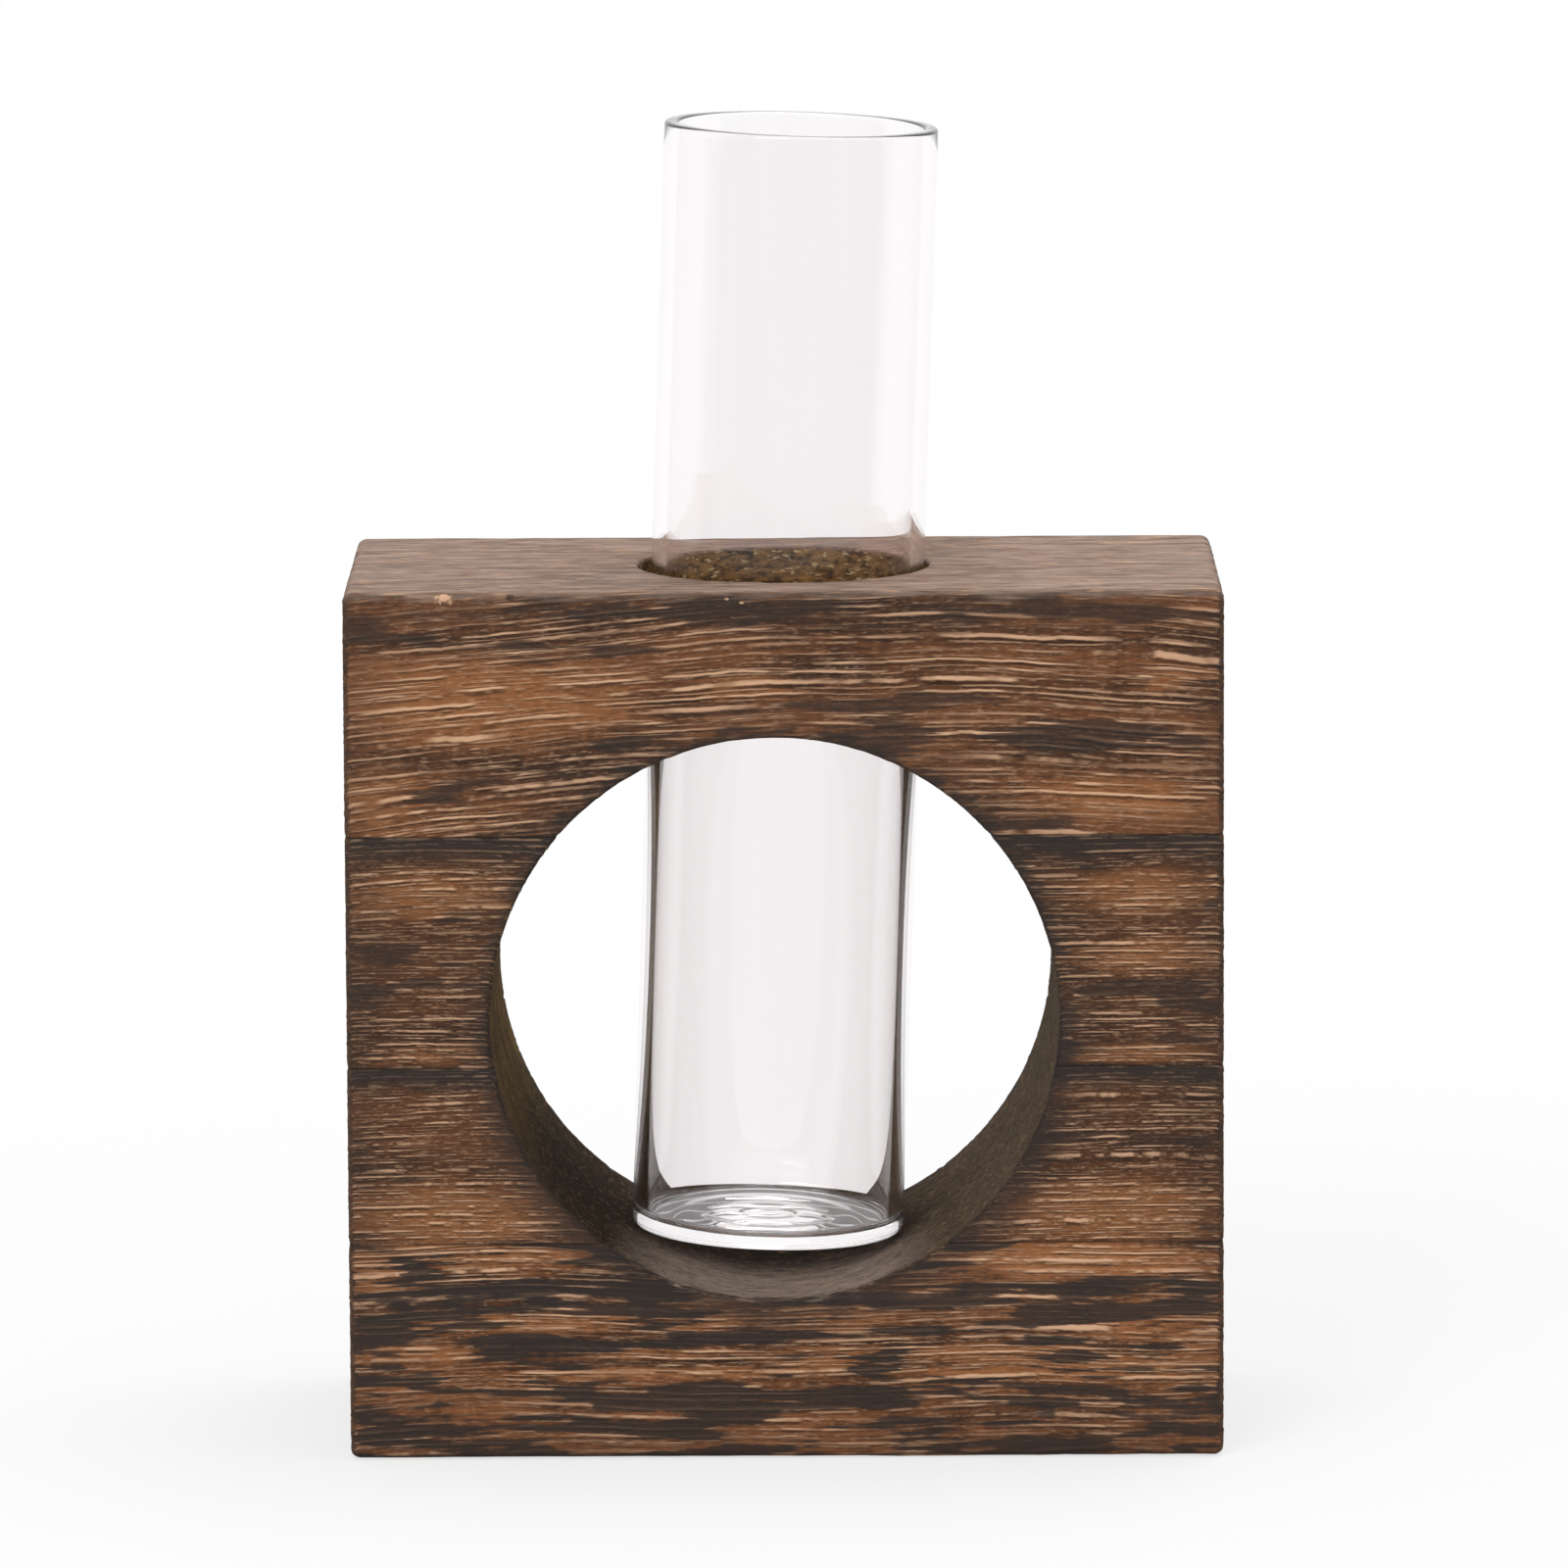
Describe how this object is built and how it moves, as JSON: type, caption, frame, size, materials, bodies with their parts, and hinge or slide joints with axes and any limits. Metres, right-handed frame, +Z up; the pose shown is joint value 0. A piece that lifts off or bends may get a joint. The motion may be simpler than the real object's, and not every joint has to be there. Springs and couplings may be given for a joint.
{
  "type": "test tube vase",
  "caption": "Flat-bottomed glass tube standing in a square block of torched wood, bored through with a round window; holds cut stems in water.",
  "frame": {"origin": "middle of the block's underside", "axes": "+X along the block's width, +Y from the front of the block to its back, along the window's axis, +Z up"},
  "size_m": [0.1, 0.05, 0.1512],
  "materials": {
    "torched_wood": "matte",
    "clear_glass": "polished"
  },
  "bodies": {
    "block": {"top_stave": "torched_wood", "upper_left_stave": "torched_wood", "upper_right_stave": "torched_wood", "lower_left_stave": "torched_wood", "lower_right_stave": "torched_wood", "bottom_stave": "torched_wood"},
    "tube": {"glass_tube": "clear_glass"}
  },
  "joints": [
    {"name": "tube_lift", "type": "slide", "parent": "block", "child": "tube", "axis": [0.0353, 0, 0.9994], "range_m": [0, 0.0827]}
  ]
}
